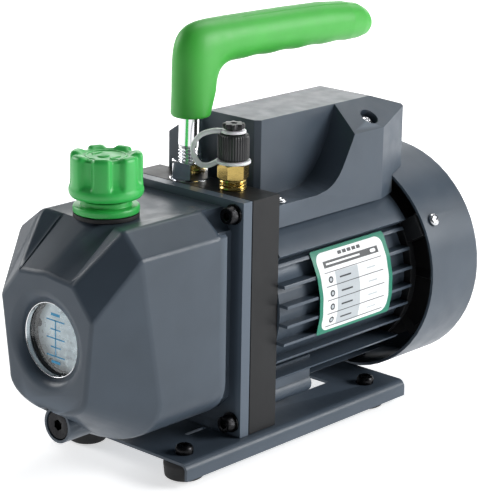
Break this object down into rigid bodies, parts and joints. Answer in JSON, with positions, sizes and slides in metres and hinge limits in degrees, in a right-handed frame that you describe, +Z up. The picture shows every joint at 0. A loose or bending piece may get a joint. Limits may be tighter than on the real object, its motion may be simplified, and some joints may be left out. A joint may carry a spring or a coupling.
{
  "type": "hvac vacuum pump",
  "caption": "Portable rotary vane vacuum pump: faceted oil tank with sight glass, finned motor with fan cover, terminal box and L-shaped carrying handle on a footed base.",
  "frame": {"origin": "middle of the footprint at the underside of the feet", "axes": "+Y from the oil tank to the fan cover along the shaft, +Z up, +X the side with the rating label"},
  "size_m": [0.123, 0.2638, 0.2158],
  "materials": {
    "slate_paint": "satin blue-grey powder coat, fine orange peel",
    "black_metal": "satin black oxide or anodised",
    "rubber": "matte black moulded rubber",
    "green_plastic": "satin green moulded plastic",
    "chrome": "polished chrome plate",
    "steel": "bright zinc-plated or ground steel",
    "brass": "machined brass",
    "black_plastic": "fine-textured black moulded plastic",
    "vane_plastic": "dark fibre-filled composite",
    "white_plastic": "white moulded plastic",
    "sight_glass": "clear glass disc",
    "iron": "ground grey iron",
    "stator_steel": "varnished laminated steel",
    "copper_winding": "varnished copper wire",
    "label_film": null
  },
  "bodies": {
    "pump_body": {"base_plate": "slate_paint", "oil_tank": "slate_paint", "motor_housing": "slate_paint", "fan_cover": "slate_paint", "terminal_box": "slate_paint", "centre_plate": "black_metal", "rear_end_shield": "black_metal", "foot_screw_front_right": "black_metal", "foot_screw_front_left": "black_metal", "foot_screw_rear_right": "black_metal", "foot_screw_rear_left": "black_metal", "tank_screw_upper_right": "black_metal", "tank_screw_upper_left": "black_metal", "tank_screw_lower_right": "black_metal", "tank_screw_lower_left": "black_metal", "foot_front_right": "rubber", "foot_front_left": "rubber", "foot_rear_right": "rubber", "foot_rear_left": "rubber", "tank_gasket": "rubber", "sight_glass_seal": "rubber", "filler_gasket": "rubber", "filler_neck": "green_plastic", "handle_grip": "green_plastic", "sight_glass_ring": "chrome", "handle_rod": "chrome", "handle_nut": "chrome", "box_screw_rear_right": "steel", "box_screw_rear_left": "steel", "box_screw_front": "steel", "fan_cover_screw_1": "steel", "fan_cover_screw_2": "steel", "fan_cover_screw_3": "steel", "front_bearing": "steel", "rear_bearing": "steel", "inlet_fitting": "brass", "power_inlet": "black_plastic", "switch_bezel": "black_plastic", "run_capacitor": "black_plastic", "tether_strap": "white_plastic", "sight_glass_reflector": "white_plastic", "sight_glass_lens": "sight_glass", "pump_cylinder": "iron", "pump_end_plate": "iron", "stator_core": "stator_steel", "stator_windings": "copper_winding", "rating_label": "label_film"},
    "shaft": {"motor_shaft": "steel", "motor_rotor": "iron", "cooling_fan": "black_plastic", "vane_rotor": "steel", "vane_1": "vane_plastic", "vane_2": "vane_plastic"},
    "oil_cap_lift": {"oil_cap_seal": "rubber"},
    "oil_cap_body": {"oil_cap": "green_plastic"},
    "inlet_cap_lift": {"inlet_cap_seal": "rubber"},
    "inlet_cap_body": {"inlet_cap": "black_plastic"},
    "drain_plug_lift": {"drain_plug_seal": "rubber"},
    "drain_plug_body": {"drain_plug": "black_metal"},
    "rocker": {"switch_rocker": "black_plastic"}
  },
  "joints": [
    {"name": "shaft_spin", "type": "hinge", "parent": "pump_body", "child": "shaft", "pos_m": [0, 0.0006, 0.0712], "axis": [0, 1, 0], "continuous": true},
    {"name": "oil_cap_rise", "type": "slide", "parent": "pump_body", "child": "oil_cap_lift", "axis": [0, 0, 1], "range_m": [0, 0.012]},
    {"name": "oil_cap_turn", "type": "hinge", "parent": "oil_cap_lift", "child": "oil_cap_body", "pos_m": [0, -0.0918, 0.1422], "axis": [0, 0, 1], "range_deg": [0, 1442]},
    {"name": "inlet_cap_rise", "type": "slide", "parent": "pump_body", "child": "inlet_cap_lift", "axis": [0, 0, 1], "range_m": [0, 0.00635], "deforming": ["tether_strap"]},
    {"name": "inlet_cap_turn", "type": "hinge", "parent": "inlet_cap_lift", "child": "inlet_cap_body", "pos_m": [0.0181, -0.0215, 0.1532], "axis": [0, 0, 1], "range_deg": [0, 1802]},
    {"name": "drain_plug_rise", "type": "slide", "parent": "pump_body", "child": "drain_plug_lift", "axis": [0, -1, 0], "range_m": [0, 0.01]},
    {"name": "drain_plug_turn", "type": "hinge", "parent": "drain_plug_lift", "child": "drain_plug_body", "pos_m": [0, -0.1244, 0.0317], "axis": [0, -1, 0], "range_deg": [0, 2882]},
    {"name": "switch_rock", "type": "hinge", "parent": "pump_body", "child": "rocker", "pos_m": [-0.0325, 0.0226, 0.1352], "axis": [0, 0, 1], "range_deg": [-18, 0]}
  ],
  "couplings": [
    {"joint": "oil_cap_turn", "follows": "oil_cap_rise", "rad_per_m": 2094.4},
    {"joint": "inlet_cap_turn", "follows": "inlet_cap_rise", "rad_per_m": 4947.4},
    {"joint": "drain_plug_turn", "follows": "drain_plug_rise", "rad_per_m": 5026.5}
  ]
}
